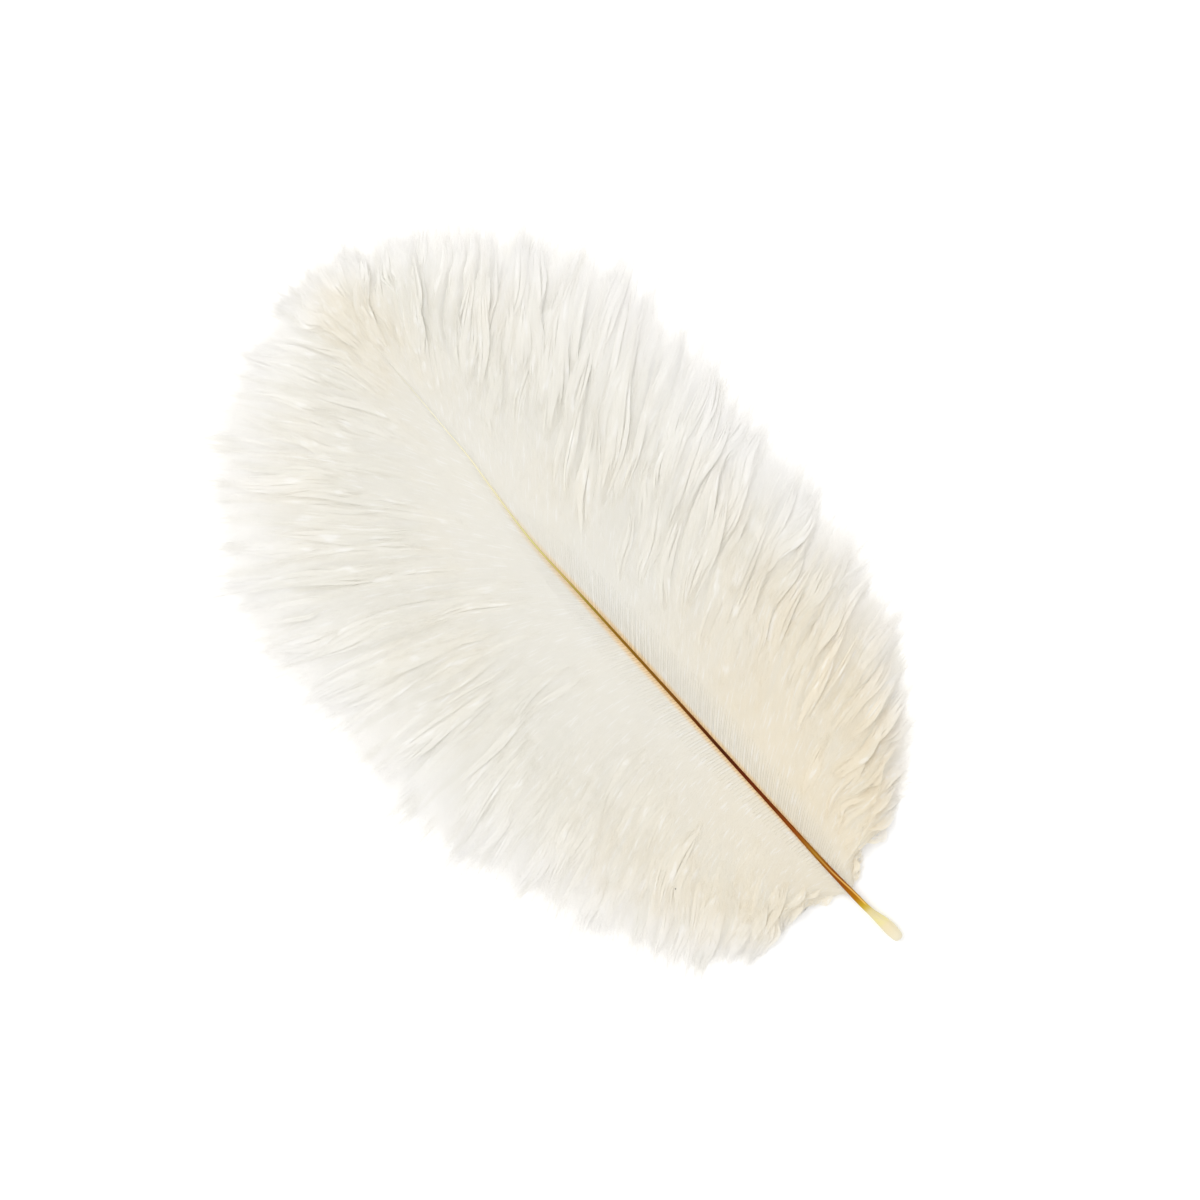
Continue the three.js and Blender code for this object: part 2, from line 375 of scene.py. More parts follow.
def joined_mesh(name, corners, faces, uv, material):
    """One object from an array of corners (n, 3), triangles (m, 3) and a UV for each corner."""
    mesh = bpy.data.meshes.new(name)
    count = len(faces)
    mesh.vertices.add(len(corners))
    mesh.vertices.foreach_set("co", to_frame(corners).astype(np.float32).ravel())
    mesh.loops.add(count * 3)
    mesh.loops.foreach_set("vertex_index", faces.astype(np.int32).ravel())
    mesh.polygons.add(count)
    mesh.polygons.foreach_set("loop_start", np.arange(count, dtype=np.int32) * 3)
    mesh.update(calc_edges=True)
    layer = mesh.uv_layers.new(name="OFBake")
    layer.data.foreach_set("uv", uv[faces.ravel()].astype(np.float32).ravel())
    mesh.polygons.foreach_set("use_smooth", np.ones(count, bool))
    mesh.materials.append(material)
    piece = bpy.data.objects.new(name, mesh)
    bpy.context.collection.objects.link(piece)
    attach(piece, "root")
    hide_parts("feather")
    return piece


def sides_of(line):
    """Directions aside and up along paths of shape (n, rows, 3)."""
    ahead = np.gradient(line, axis=1)
    ahead /= np.linalg.norm(ahead, axis=2, keepdims=True) + 1e-9
    side = np.stack([ahead[..., 1], -ahead[..., 0], np.zeros(ahead.shape[:2])], -1)
    side /= np.linalg.norm(side, axis=2, keepdims=True) + 1e-9
    return side, np.cross(side, ahead)


def grid_faces(index):
    """Triangles between neighbours of a grid of corner numbers, (..., rows, columns)."""
    a, b = index[..., :-1, :-1], index[..., :-1, 1:]
    c, d = index[..., 1:, 1:], index[..., 1:, :-1]
    return np.concatenate([np.stack([a, b, d], -1).reshape(-1, 3),
                           np.stack([b, c, d], -1).reshape(-1, 3)])


def facing(corners, faces, up):
    """The same triangles, each turned to face up or down."""
    a, b, c = (corners[faces[:, k]] for k in range(3))
    p, q = b - a, c - a
    turn = (p[:, 0] * q[:, 1] - p[:, 1] * q[:, 0] < 0) == up
    faces = faces.copy()
    faces[turn] = faces[turn][:, [0, 2, 1]]
    return faces


def flat_map(c, s, span):
    """UV of places on a vane: out along the barb across, from the quill to the tip upwards."""
    c, s = np.broadcast_arrays(c, s)
    v = 0.04 + 0.92 * (c - span[0]) / (span[1] - span[0])
    return np.stack([np.clip(0.01 + 0.97 * s, 0.001, 0.999), np.clip(v, 0.001, 0.999)], -1)


def bed(vane, span):
    """Closed body of matted down: one sheet inside and fine points outside."""
    middles = (vane.cuts[:-1] + vane.cuts[1:]) / 2
    mine = np.flatnonzero((middles >= span[0]) & (middles < span[1]))
    inner = SPLIT * np.linspace(0, 1, 20) ** 1.15
    joined = len(inner)
    share = np.linspace(0, 1, 8)[1:]
    s = np.concatenate([np.tile(inner, (len(mine), 1)),
                        SPLIT + (vane.end[mine, None] - SPLIT) * share[None]], 1)
    across = np.linspace(-1, 1, 3)
    half = (vane.cuts[mine + 1] - vane.cuts[mine]) / 2
    c = middles[mine][:, None] + half[:, None] * across[None] * (1 - 1e-6)
    top = vane.drawn(c[:, None, :], s[:, :, None], 0.97)
    c = np.broadcast_to(c[:, None, :], top.shape[:3])
    s = np.broadcast_to(s[:, :, None], top.shape[:3])

    thick = (top[..., 2] - LOWEST_BED) * ease(s / 0.12)
    closing = np.concatenate([np.zeros(joined), share])
    outside = np.arange(s.shape[1]) >= joined
    thick *= np.where(outside[None, :, None], (1 - across[None, None] ** 2)
                      * (1 - closing[None, :, None]) ** 0.5, 1)
    low = top.copy()
    low[..., 2] -= thick

    index = np.arange(s.size).reshape(s.shape)
    index[1:, :joined, 0] = index[:-1, :joined, -1]
    faces = grid_faces(index)
    corners = np.concatenate([top.reshape(-1, 3), low.reshape(-1, 3)])
    faces = np.concatenate([facing(corners, faces, True), facing(corners, faces + s.size, False)])
    uv = flat_map(c, s, span)
    corners, faces, maps = [corners], [faces], [uv.reshape(-1, 2), uv.reshape(-1, 2)]
    for k in (0, -1):  # the two cut sides
        rows = slice(0, joined + 1)
        start = sum(len(part) for part in corners)
        side = np.stack([top[k, rows, k], low[k, rows, k]], 1)
        corners.append(side.reshape(-1, 3))
        faces.append(start + grid_faces(np.arange(2 * (joined + 1)).reshape(-1, 2)))
        rim = np.stack([uv[k, rows, k], uv[k, rows, k]], 1)
        rim[:, 1, 1] += 0.0008 if k == 0 else -0.0008
        maps.append(rim.reshape(-1, 2))
    return np.concatenate(corners), np.concatenate(faces), np.concatenate(maps)


def stems(vane, span, count, rng):
    """Three-sided tapering rods: the barbs' own stems, thinner and sunk deeper near the tip."""
    c = (np.arange(count) + 0.5 + rng.uniform(-0.2, 0.2, count)) / count
    c = c[(c >= span[0]) & (c < span[1])]
    n = len(c)
    reach = rng.uniform(0.86, 1.0, n)
    s = np.linspace(0, 1, 17)[None] ** 1.2 * reach[:, None]
    line = vane.drawn(c[:, None], s, rng.uniform(0.2, 0.9, n)[:, None])
    root = np.interp(c, np.linspace(0, 1, vane.columns), vane.root)
    low = 1 - ease((root - 65) / 45)[:, None]
    comb = low * (0.07 if vane.side == "right" else 0.0)
    line[..., 2] += (mix(comb, -0.1, ease(s / 0.25)) * ease(s / 0.03)
                     + rng.uniform(0, 0.2, n)[:, None] * ease((s - 0.7) / 0.3))
    side, up = sides_of(line)
    radius = np.interp(s, [0, 0.05, 0.25, 0.7, 1], [0.08, 0.07, 0.04, 0.016, 0.007])
    radius = (radius * mix(0.4, 1, low))[..., None]
    turns = [2 * math.pi * (k + 0.25) / 3 for k in range(3)]
    corners = np.stack(
        [line + (side * math.cos(a) + up * math.sin(a)) * radius for a in turns], 2)
    index = np.arange(n * s.shape[1] * 3).reshape(n, s.shape[1], 3)
    faces = [index[:, 0, [0, 1, 2]], index[:, -1, [2, 1, 0]]]
    for k in range(3):
        a, b = index[:, :-1, k], index[:, :-1, (k + 1) % 3]
        e, d = index[:, 1:, (k + 1) % 3], index[:, 1:, k]
        faces += [np.stack([a, d, b], -1).reshape(-1, 3), np.stack([b, d, e], -1).reshape(-1, 3)]
    around = c[:, None, None] + np.array([-1, 0, 1]) * 0.2 / count
    return corners.reshape(-1, 3), np.concatenate(faces), flat_map(
        around, s[:, :, None], span).reshape(-1, 2)


class Wisps:
    """Loose pointed wisps that lie on a vane: bundles of narrow ribbons that follow its lines."""

    def __init__(self, vane, span, count, rng):
        c = (np.arange(count) + rng.uniform(0, 1, count)) / count
        self.c = c = c[(c >= span[0]) & (c < span[1])]
        n = len(c)
        begin = rng.uniform(0.12, 0.66, n)
        end = np.minimum(begin + rng.uniform(0.25, 0.5, n), rng.uniform(0.82, 0.97, n))
        self.t = np.linspace(0, 1, 14)
        self.s = begin[:, None] + (end - begin)[:, None] * self.t[None]
        line = vane.drawn(c[:, None], self.s, rng.uniform(0.1, 0.6, n)[:, None])
        side = sides_of(line)[0]
        loose = LOOSENESS[vane.side]
        swing = sum(rng.uniform(-1, 1, n)[:, None] * size * np.sin(
            math.pi * (k * self.t[None] + rng.uniform(0, 2, n)[:, None]))
            for k, size in ((1.0, 1.0), (2.0, 0.5)))
        line = line + side * (swing * loose * ease(self.t / 0.4)[None])[..., None]
        lift = rng.uniform(0.0, 0.25, n) * loose + 0.02
        hump = np.interp(self.t, [0, 0.2, 0.5, 0.85, 1], [-0.16, 0.5, 1.0, 0.8, 0.5])
        line[..., 2] += np.where(hump[None] < 0, hump[None], hump[None] * lift[:, None])
        self.line, self.side = line, side
        shape = np.interp(self.t, [0, 0.08, 0.25, 0.5, 0.75, 0.9, 1],
                          [0.2, 0.5, 0.85, 1, 0.7, 0.36, 0.1])
        width = mix(0.6, 2.1, rng.uniform(0, 1, n) ** 1.5) * np.clip(
            np.interp(c, np.linspace(0, 1, vane.columns), vane.length) / 25, 0.5, 1)
        self.half = width[:, None] * shape[None]
        hand = -1 if vane.side == "left" else 1
        self.roll = hand * rng.uniform(0.0, 0.14, n) * loose
        self.arch = rng.uniform(0.1, 0.2, n)

    def at(self, k, t, across):
        """Points on wisps k at share t of their length and from -1 to 1 across."""
        x = np.clip(t, 0, 1) * (len(self.t) - 1)
        i = np.minimum(x.astype(int), len(self.t) - 2)
        v = x - i
        middle = mix(self.line[k, i], self.line[k, i + 1], v[..., None])
        side = mix(self.side[k, i], self.side[k, i + 1], v[..., None])
        half = mix(self.half[k, i], self.half[k, i + 1], v)
        points = middle + side * (half * across)[..., None]
        points[..., 2] += half * (self.roll[k] * across - self.arch[k] * across**2)
        points[..., 2] = np.clip(points[..., 2], LOWEST_DOWN, None)
        return points

    def mesh(self, span, rng):
        """A wisp's ribbons, side by side, each with its own start, end and small bends."""
        n, each = len(self.c), RIBBONS
        wisp = np.repeat(np.arange(n), each)
        own = np.tile(np.linspace(-0.85, 0.85, each), n) + rng.uniform(-0.12, 0.12, n * each)
        begin, end = rng.uniform(0, 0.3, n * each), rng.uniform(0.72, 1.0, n * each)
        rows = np.linspace(0, 1, 11)
        t = begin[:, None] + (end - begin)[:, None] * rows[None]
        bend = 0.14 * np.sin(math.pi * (1.5 * rows[None] + rng.uniform(0, 2, n * each)[:, None]))
        shape = np.interp(rows, [0, 0.15, 0.5, 0.8, 1], [0.15, 0.75, 1, 0.6, 0.03])
        wide = rng.uniform(0.19, 0.29, n * each)[:, None] * shape[None]
        wide = wide[..., None] * np.array([-1, 1])[None, None] + (own[:, None] + bend)[..., None]
        k = np.broadcast_to(wisp[:, None, None], wide.shape)
        corners = self.at(k, np.broadcast_to(t[..., None], wide.shape), wide)
        corners[..., 2] += rng.uniform(-0.015, 0.015, n * each)[:, None, None]
        corners[:, 0, :, 2] -= 0.04
        index = np.arange(wide.size).reshape(wide.shape)
        corners = corners.reshape(-1, 3)
        c = self.c[wisp][:, None, None] + wide * 0.003
        s = mix(self.s[wisp, 0][:, None], self.s[wisp, -1][:, None], t)
        return corners, facing(corners, grid_faces(index), True), flat_map(
            c, s[..., None], span).reshape(-1, 2)


def strands(base, ahead, hand, angle, bend, reach, lift, width, rng):
    """Corners of fine hairs, five to a hair: two at its start, two halfway and its tip."""
    def turned(turn, rise):
        x = ahead[:, 0] * np.cos(turn) - ahead[:, 1] * np.sin(turn)
        y = ahead[:, 0] * np.sin(turn) + ahead[:, 1] * np.cos(turn)
        return np.stack([x, y, ahead[:, 2] + rise], 1)

    first, second = turned(hand * angle, lift), turned(hand * (angle + bend), lift - 0.05)
    middle = base + first * (reach * 0.5)[:, None]
    tip = middle + second * (reach * 0.5)[:, None]
    cross = np.stack([-first[:, 1], first[:, 0], rng.normal(0, 0.25, len(base))], 1)
    cross /= np.linalg.norm(cross, axis=1, keepdims=True)
    half = cross * (width * 0.5)[:, None]
    corners = np.stack(
        [base - half, base + half, middle - half * 0.7, middle + half * 0.7, tip], 1)
    corners[..., 2] = np.clip(corners[..., 2], LOWEST_HAIR, None)
    return corners


def hairs(vane, wisps, span, sizes, rng):
    """Fine hairs all over the bed and the wisps, thinner and looser towards the edge."""
    length, width = sizes.hair_length / MM, sizes.hair_width / MM

    # On the bed: as many as each cell of the vane's grid has room for.
    low, high = (np.asarray(span) * (vane.columns - 1)).round().astype(int)
    cells = vane.grid[low:high + 1]
    a = cells[1:, :-1] - cells[:-1, :-1]
    b = cells[:-1, 1:] - cells[:-1, :-1]
    area = np.abs(a[..., 0] * b[..., 1] - a[..., 1] * b[..., 0])
    middle = (np.arange(vane.rows - 1) + 0.5) / (vane.rows - 1)
    at_shaft = 0.7 if vane.side == "right" else 0.8
    want = np.interp(middle, [0, 0.08, 0.2, 0.6, 0.72, 0.82, 0.9, 0.95, 1],
                     [at_shaft, at_shaft, 0.85, 0.9, 0.9, 0.75, 0.5, 0.35, 0.2])
    passed = np.cumsum((area * want[None]).ravel())
    total = int(passed[-1] * sizes.hair_density)
    cell = np.searchsorted(passed, rng.uniform(0, passed[-1], total))
    i, j = np.divmod(cell, vane.rows - 1)
    c = (low + np.minimum(i, high - low - 1) + rng.uniform(0, 1, total)) / (vane.columns - 1)
    s = (j + rng.uniform(0, 1, total)) / (vane.rows - 1)
    draw = rng.uniform(0.0, 0.9, total)
    base = vane.drawn(c, s, draw)
    ahead = vane.drawn(c, np.minimum(s + 0.03, 1.0), draw) - vane.drawn(c, s - 0.01, draw)
    base[:, 2] += rng.uniform(-0.06, 0.03, total)

    # On the wisps: by their area too.
    size = np.linalg.norm(np.diff(wisps.line, axis=1), axis=2).mean(1) * wisps.half.sum(1) * 2
    picks = np.repeat(np.arange(len(size)), (size * sizes.hair_density * 0.8).astype(int))
    t = rng.uniform(0, 1, len(picks))
    across = rng.uniform(-1, 1, len(picks))
    base_2 = wisps.at(picks, t, across)
    ahead_2 = wisps.at(picks, t + 0.04, across) - wisps.at(picks, t - 0.04, across)
    s_2 = mix(wisps.s[picks, 0], wisps.s[picks, -1], t)
    c_2 = wisps.c[picks] + across * 0.003
    base_2[:, 2] -= 0.02

    base, ahead = np.concatenate([base, base_2]), np.concatenate([ahead, ahead_2])
    ahead /= np.linalg.norm(ahead, axis=1, keepdims=True) + 1e-9
    c, s = np.concatenate([c, c_2]), np.concatenate([s, s_2])
    total = len(s)
    hand = np.where(rng.uniform(size=total) < 0.5, -1.0, 1.0)
    angle = np.radians(mix(9, 13, ease((s - 0.5) / 0.4)) * rng.uniform(0.1, 1.9, total))
    bend = np.radians(rng.uniform(-26, 26, total))
    share = np.interp(s, [0, 0.05, 0.15, 0.7, 0.9, 1], [0.3, 0.5, 0.8, 0.9, 1.15, 1.35])
    scale = np.clip(np.interp(c, np.linspace(0, 1, vane.columns), vane.length) / 24, 0.45, 1)
    reach = length * share * scale * rng.uniform(0.45, 1, total)
    fine = np.interp(s, [0, 0.6, 0.8, 0.95, 1], [1, 0.95, 0.75, 0.55, 0.45])
    lift = rng.normal(0.035, 0.05, total)
    corners = strands(base, ahead, hand, angle, bend, reach, lift,
                      width * fine * rng.uniform(0.7, 1.3, total), rng)
    index = np.arange(total * 5).reshape(-1, 5)
    bent = s > HAIR_BENDS
    faces = np.concatenate([index[~bent][:, [0, 1, 4]], index[bent][:, [0, 1, 3]],
                            index[bent][:, [2, 3, 4]]])
    step = np.array([-0.0002, 0.0002, -0.0001, 0.0003, 0.0005])
    uv = flat_map(c[:, None] + step, s[:, None] + np.array([0, 0, 0.01, 0.01, 0.02]),
                  span).reshape(-1, 2)
    used = np.unique(faces)
    fresh = np.zeros(total * 5, int)
    fresh[used] = np.arange(len(used))
    corners, faces, uv = corners.reshape(-1, 3)[used], fresh[faces], uv[used]
    return corners, facing(corners, faces, True), uv


def build_piece(name, vane, low, high, seed):
    """The down of a vane between two places of the shaft, as one piece."""
    sizes = bpy.context.scene.plume_sizes
    rng = np.random.default_rng(sizes.seed * 100 + seed)
    span = vane.between(low, high)
    tip = vane.side == "tip"
    loose = Wisps(vane, span, 20 if tip else sizes.wisp_count, rng)
    parts = [bed(vane, span), stems(vane, span, 30 if tip else sizes.barb_count, rng),
             loose.mesh(span, rng), hairs(vane, loose, span, sizes, rng)]
    starts = np.cumsum([0] + [len(part[0]) for part in parts])
    corners = np.concatenate([part[0] for part in parts])
    faces = np.concatenate([part[1] + start for part, start in zip(parts, starts)])
    uv = np.concatenate([part[2] for part in parts])
    print(f"{name}: {[len(part[1]) for part in parts]} triangles, {len(faces)} in all")
    return joined_mesh(name, corners, faces, uv, down_finish())


# ---------- finishes ----------

class Signal:
    """A shader value that adds its own Math nodes when it is used in a sum."""

    def __init__(self, finish, socket):
        self.finish, self.socket = finish, socket

    def _with(self, operation, first, second):
        node = self.finish.add("ShaderNodeMath", {"operation": operation}, {0: first, 1: second})
        return Signal(self.finish, node.outputs[0])

    def __add__(self, other):
        return self._with("ADD", self, other)

    def __radd__(self, other):
        return self._with("ADD", other, self)

    def __sub__(self, other):
        return self._with("SUBTRACT", self, other)

    def __rsub__(self, other):
        return self._with("SUBTRACT", other, self)

    def __mul__(self, other):
        return self._with("MULTIPLY", self, other)

    def __rmul__(self, other):
        return self._with("MULTIPLY", other, self)

    def __truediv__(self, other):
        return self._with("DIVIDE", self, other)

    def __pow__(self, other):
        return self._with("POWER", self, other)


class Finish:
    """A material and the nodes that make it."""

    def __init__(self, name):
        self.material = bpy.data.materials.new(name)
        self.material.use_nodes = True
        self.tree = self.material.node_tree
        self.tree.nodes.clear()
        self.output = self.tree.nodes.new("ShaderNodeOutputMaterial")

    def add(self, kind, settings=None, sockets=None):
        node = self.tree.nodes.new(kind)
        for key, value in (settings or {}).items():
            if key == "stops":
                ramp = node.color_ramp
                for place, colour in value[1:-1]:
                    ramp.elements.new(place).color = (*colour, 1)
                ramp.elements[0].position, ramp.elements[0].color = value[0][0], (*value[0][1], 1)
                ramp.elements[-1].position, ramp.elements[-1].color = (
                    value[-1][0], (*value[-1][1], 1))
            else:
                setattr(node, key, value)
        for key, value in (sockets or {}).items():
            socket = node.inputs[key]
            if isinstance(value, Signal):
                self.tree.links.new(value.socket, socket)
            elif isinstance(value, bpy.types.NodeSocket):
                self.tree.links.new(value, socket)
            elif isinstance(value, (tuple, list)) and len(socket.default_value) == 4:
                socket.default_value = (*value[:3], 1)
            else:
                socket.default_value = value
        return node

    def blend(self, first, second, share):
        """Colour between two, by a share from 0 to 1."""
        node = self.add("ShaderNodeMix", {"data_type": "RGBA", "clamp_factor": True},
                        {"Factor": share, 6: first, 7: second})
        return node.outputs[2]

    def band(self, value, low, high):
        """0 below low, 1 above high, eased between."""
        node = self.add("ShaderNodeMapRange", {"interpolation_type": "SMOOTHSTEP"},
                        {"Value": value, "From Min": low, "From Max": high})
        return Signal(self, node.outputs["Result"])

    def noise(self, vector, scale, detail=2.0):
        node = self.add("ShaderNodeTexNoise", None,
                        {"Vector": vector, "Scale": scale, "Detail": detail})
        return Signal(self, node.outputs["Fac"])

    def place(self):
        """Object coordinates, and their three parts."""
        spot = self.add("ShaderNodeTexCoord").outputs["Object"]
        parts = self.add("ShaderNodeSeparateXYZ", None, {0: spot}).outputs
        return spot, [Signal(self, parts[i]) for i in range(3)]

    def own_map(self, name):
        spot = self.add("ShaderNodeUVMap", {"uv_map": name}).outputs[0]
        parts = self.add("ShaderNodeSeparateXYZ", None, {0: spot}).outputs
        return spot, [Signal(self, parts[i]) for i in range(2)]

    def close(self, shader):
        self.tree.links.new(shader, self.output.inputs["Surface"])
        return self.material


def down_finish():
    """Ivory down: warm near the quill and in the tip's middle, paler at the barbs' ends, partly
    painted light there, with painted shade streaked between the locks.
    """
    if "down" in bpy.data.materials:
        return bpy.data.materials["down"]
    colours = bpy.context.scene.plume_colours
    finish = Finish("down")
    spot, (x, y, _) = finish.place()
    grown, (along, _) = finish.own_map("OFBake")
    base = PLUME_LOW[1]
    near_quill = 1 - finish.band(y, base + 0.010, base + 0.075)
    x_mid = bpy.context.scene.plume_sizes.quill_x - 0.0015
    off = ((x - x_mid) ** 2) ** 0.5
    tuft = finish.band(y, base + 0.112, base + 0.150) * (1 - finish.band(off, 0.002, 0.010))
    cloud = finish.noise(spot, 45.0, 3.0)
    warm = near_quill * 0.8 + tuft * 0.35 + finish.band(cloud, 0.45, 0.75) * 0.25
    tint = finish.blend(tuple(colours.down), tuple(colours.down_warm), warm)
    # Paler towards the barbs' ends: partly their own thin paleness, partly painted light that
    # lightens them against the shade among the fine points. The right vane is also painted lighter
    # further in, as painted light against the shade of its deeper locks, except low down, where it
    # is yellower.
    right = finish.band(x - x_mid, 0.006, 0.02) * finish.band(y, base + 0.055, base + 0.085)
    pale = finish.band(along, 0.5, 0.92)
    pale = pale + (1 - pale) * right * finish.band(along, 0.3, 0.62) * 0.16
    tint = finish.blend(tint, tuple(colours.down_pale_and_painted_light), pale)
    low_right = finish.band(x - x_mid, 0.001, 0.006) * (
        1 - finish.band(y, base + 0.045, base + 0.08))
    tint = finish.blend(tint, (0.87, 0.78, 0.60), low_right * (1 - pale) * 0.45)
    stretch = finish.add("ShaderNodeVectorMath", {"operation": "MULTIPLY"},
                         {0: grown, 1: (14.0, 130.0, 1.0)}).outputs[0]
    streak = finish.noise(stretch, 1.0, 1.0)
    tint = finish.blend(tint, (0.975, 0.972, 0.962), finish.band(streak, 0.58, 0.7) * 0.5)
    # Painted shade: darker streaks stretched along the barbs stand for the shade in the valleys
    # between locks, from a fifth of the way out, weaker on the right vane.
    stretch = finish.add("ShaderNodeVectorMath", {"operation": "MULTIPLY"},
                         {0: grown, 1: (4.0, 34.0, 1.0)}).outputs[0]
    painted_lock_shade = finish.noise(stretch, 1.0, 2.0)
    painted_lock_shade = (1 - finish.band(painted_lock_shade, 0.36, 0.5)) * finish.band(along, 0.2, 0.45)
    tint = finish.blend(tint, (0.80, 0.785, 0.71), painted_lock_shade * (1 - right * 0.4) * 0.3)
    rooted = (1 - finish.band(along, 0.02, 0.042)) * (1 - finish.band(y, base + 0.07, base + 0.12))
    tint = finish.blend(tint, (0.93, 0.67, 0.34), rooted * 0.9)
    # One dark speck lies in the left vane's down.
    apart = ((x + 0.01892) ** 2 + (y + 0.04671) ** 2) ** 0.5
    speck = 1 - finish.band(apart, 0.0001, 0.0002)
    tint = finish.blend(tint, (0.12, 0.10, 0.09), speck * 0.8)
    skin = finish.add("ShaderNodeBsdfPrincipled", None, {
        "Base Color": tint, "Roughness": 0.62, "IOR": 1.5, "Specular IOR Level": 0.25})
    glow = finish.add("ShaderNodeBsdfTranslucent", None, {"Color": (0.982, 0.977, 0.969)})
    thin = finish.band(along, 0.6, 0.92) * 0.35 + 0.3
    both = finish.add("ShaderNodeMixShader", None, {
        0: thin, 1: skin.outputs[0], 2: glow.outputs[0]})
    return finish.close(both.outputs[0])


def horn_finish():
    """Horn of quill and shaft: cream bulb, amber with dark edges, red-brown middle, yellow end."""
    finish = Finish("horn")
    spot, (around, along) = finish.own_map("OFBake")
    aside = (around - 0.47) * 1.111 * 2 * math.pi
    edge = ((aside * aside) ** 0.5) / (math.pi / 2)
    core = finish.add("ShaderNodeValToRGB", {"stops": [
        (0.0, (0.76, 0.70, 0.54)), (0.026, (0.73, 0.63, 0.41)), (0.046, (0.66, 0.57, 0.33)),
        (0.054, (0.66, 0.56, 0.27)), (0.06, (0.56, 0.41, 0.07)), (0.0655, (0.50, 0.33, 0.02)),
        (0.0785, (0.38, 0.14, 0.002)), (0.105, (0.26, 0.06, 0.001)), (0.131, (0.27, 0.075, 0.003)),
        (0.157, (0.30, 0.13, 0.006)), (0.196, (0.23, 0.053, 0.003)), (0.236, (0.14, 0.026, 0.001)),
        (0.288, (0.105, 0.014, 0.0005)), (0.34, (0.055, 0.010, 0.0005)),
        (0.393, (0.10, 0.022, 0.001)),
        (0.445, (0.17, 0.065, 0.004)), (0.497, (0.19, 0.085, 0.006)), (0.55, (0.23, 0.115, 0.01)),
        (0.602, (0.29, 0.21, 0.03)), (0.655, (0.48, 0.37, 0.11)), (0.707, (0.58, 0.54, 0.22)),
        (0.76, (0.68, 0.62, 0.36)), (0.83, (0.78, 0.73, 0.52)), (1.0, (0.84, 0.80, 0.64)),
    ]}, {0: along}).outputs[0]
    rim = finish.add("ShaderNodeValToRGB", {"stops": [
        (0.0, (0.74, 0.69, 0.52)), (0.03, (0.72, 0.65, 0.42)), (0.054, (0.66, 0.56, 0.3)),
        (0.061, (0.50, 0.36, 0.06)), (0.085, (0.30, 0.13, 0.006)), (0.131, (0.22, 0.075, 0.003)),
        (0.19, (0.20, 0.055, 0.003)), (0.30, (0.22, 0.06, 0.006)), (0.45, (0.38, 0.2, 0.035)),
        (0.60, (0.55, 0.42, 0.15)), (0.75, (0.74, 0.68, 0.42)), (1.0, (0.84, 0.80, 0.66)),
    ]}, {0: along + (aside * 0.0022)}).outputs[0]
    stretch = finish.add("ShaderNodeVectorMath", {"operation": "MULTIPLY"},
                         {0: spot, 1: (9.0, 30.0, 1.0)}).outputs[0]
    grain = finish.noise(stretch, 1.0, 2.0)
    shade = finish.blend(core, rim, finish.band(edge + (grain - 0.5) * 0.5, 0.45, 0.95))
    # A painted highlight runs up the amber part as a lighter golden line, from right of its middle
    # to the middle.
    turn = (1 - finish.band(along, 0.0785, 0.135)) * 0.62
    painted_highlight_line = (1 - finish.band(((aside - turn) ** 2) ** 0.5, 0.1, 0.34)) * (
        finish.band(along, 0.06, 0.068) * (1 - finish.band(along, 0.075, 0.19)))
    shade = finish.blend(shade, (0.84, 0.52, 0.13), painted_highlight_line * 0.85)
    # The bulb shows a greenish band before the amber begins.
    green = finish.band(along, 0.026, 0.034) * (1 - finish.band(along, 0.04, 0.05))
    shade = finish.blend(shade, (0.76, 0.70, 0.24), green * finish.band(grain, 0.3, 0.6) * 0.5)
    lines = finish.add("ShaderNodeBump", None, {
        "Height": grain.socket, "Strength": 0.25, "Distance": 0.0002}).outputs[0]
    skin = finish.add("ShaderNodeBsdfPrincipled", None, {
        "Base Color": shade, "Roughness": 0.3, "IOR": 1.5, "Specular IOR Level": 0.06,
        "Normal": lines})
    return finish.close(skin.outputs[0])


def table_finish():
    finish = Finish("table")
    colours = bpy.context.scene.plume_colours
    spot, _ = finish.place()
    grain = finish.noise(spot, 300.0, 3.0)
    tint = finish.blend(tuple(colours.table), tuple(c * 0.985 for c in colours.table), grain)
    skin = finish.add("ShaderNodeBsdfPrincipled", None, {
        "Base Color": tint, "Roughness": 0.8, "Specular IOR Level": 0.1})
    return finish.close(skin.outputs[0])


# ---------- operators ----------

